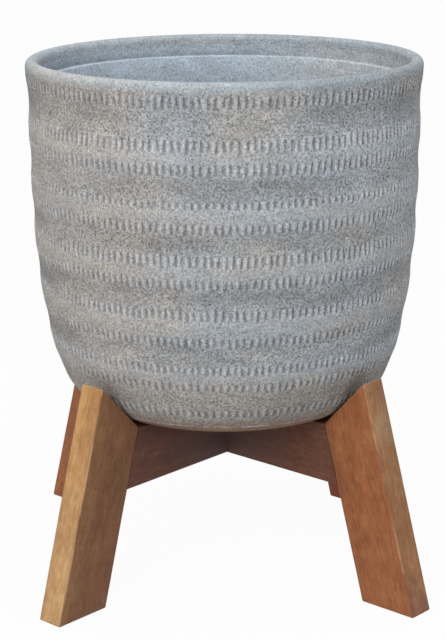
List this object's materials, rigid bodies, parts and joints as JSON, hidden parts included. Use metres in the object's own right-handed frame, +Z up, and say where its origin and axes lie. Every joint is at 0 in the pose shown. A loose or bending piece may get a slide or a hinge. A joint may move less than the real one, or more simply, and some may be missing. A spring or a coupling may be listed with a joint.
{
  "type": "planter with legs",
  "caption": "Round cement-look pot with low raised bands and rows of short combed grooves, resting in a timber stand with splayed legs.",
  "frame": {"origin": "on the floor, in the middle between the feet, under the pot's axis", "axes": "+Z up along the pot's axis, -Y towards the front, +X to the right of someone who looks at the front; the legs stand on the diagonals"},
  "size_m": [0.38, 0.3798, 0.5045],
  "materials": {
    "cement": "matt, speckled grey cement with paler raised bands",
    "timber": "satin, oiled mid-brown hardwood",
    "tenon_wood": "plain beech",
    "plug_rubber": "matt black"
  },
  "bodies": {
    "stand": {"rail_lower": "timber", "rail_upper": "timber", "leg_front_left": "timber", "leg_front_right": "timber", "leg_back_left": "timber", "leg_back_right": "timber", "loose_tenons": "tenon_wood"},
    "pot": {"pot": "cement"},
    "plug": {"drain_plug": "plug_rubber"}
  },
  "joints": [
    {"name": "pot_lift", "type": "slide", "parent": "stand", "child": "pot", "axis": [0, 0, 1], "range_m": [0, 0.15]},
    {"name": "plug_pull", "type": "slide", "parent": "pot", "child": "plug", "axis": [0, 0, 1], "range_m": [0, 0.34]}
  ]
}
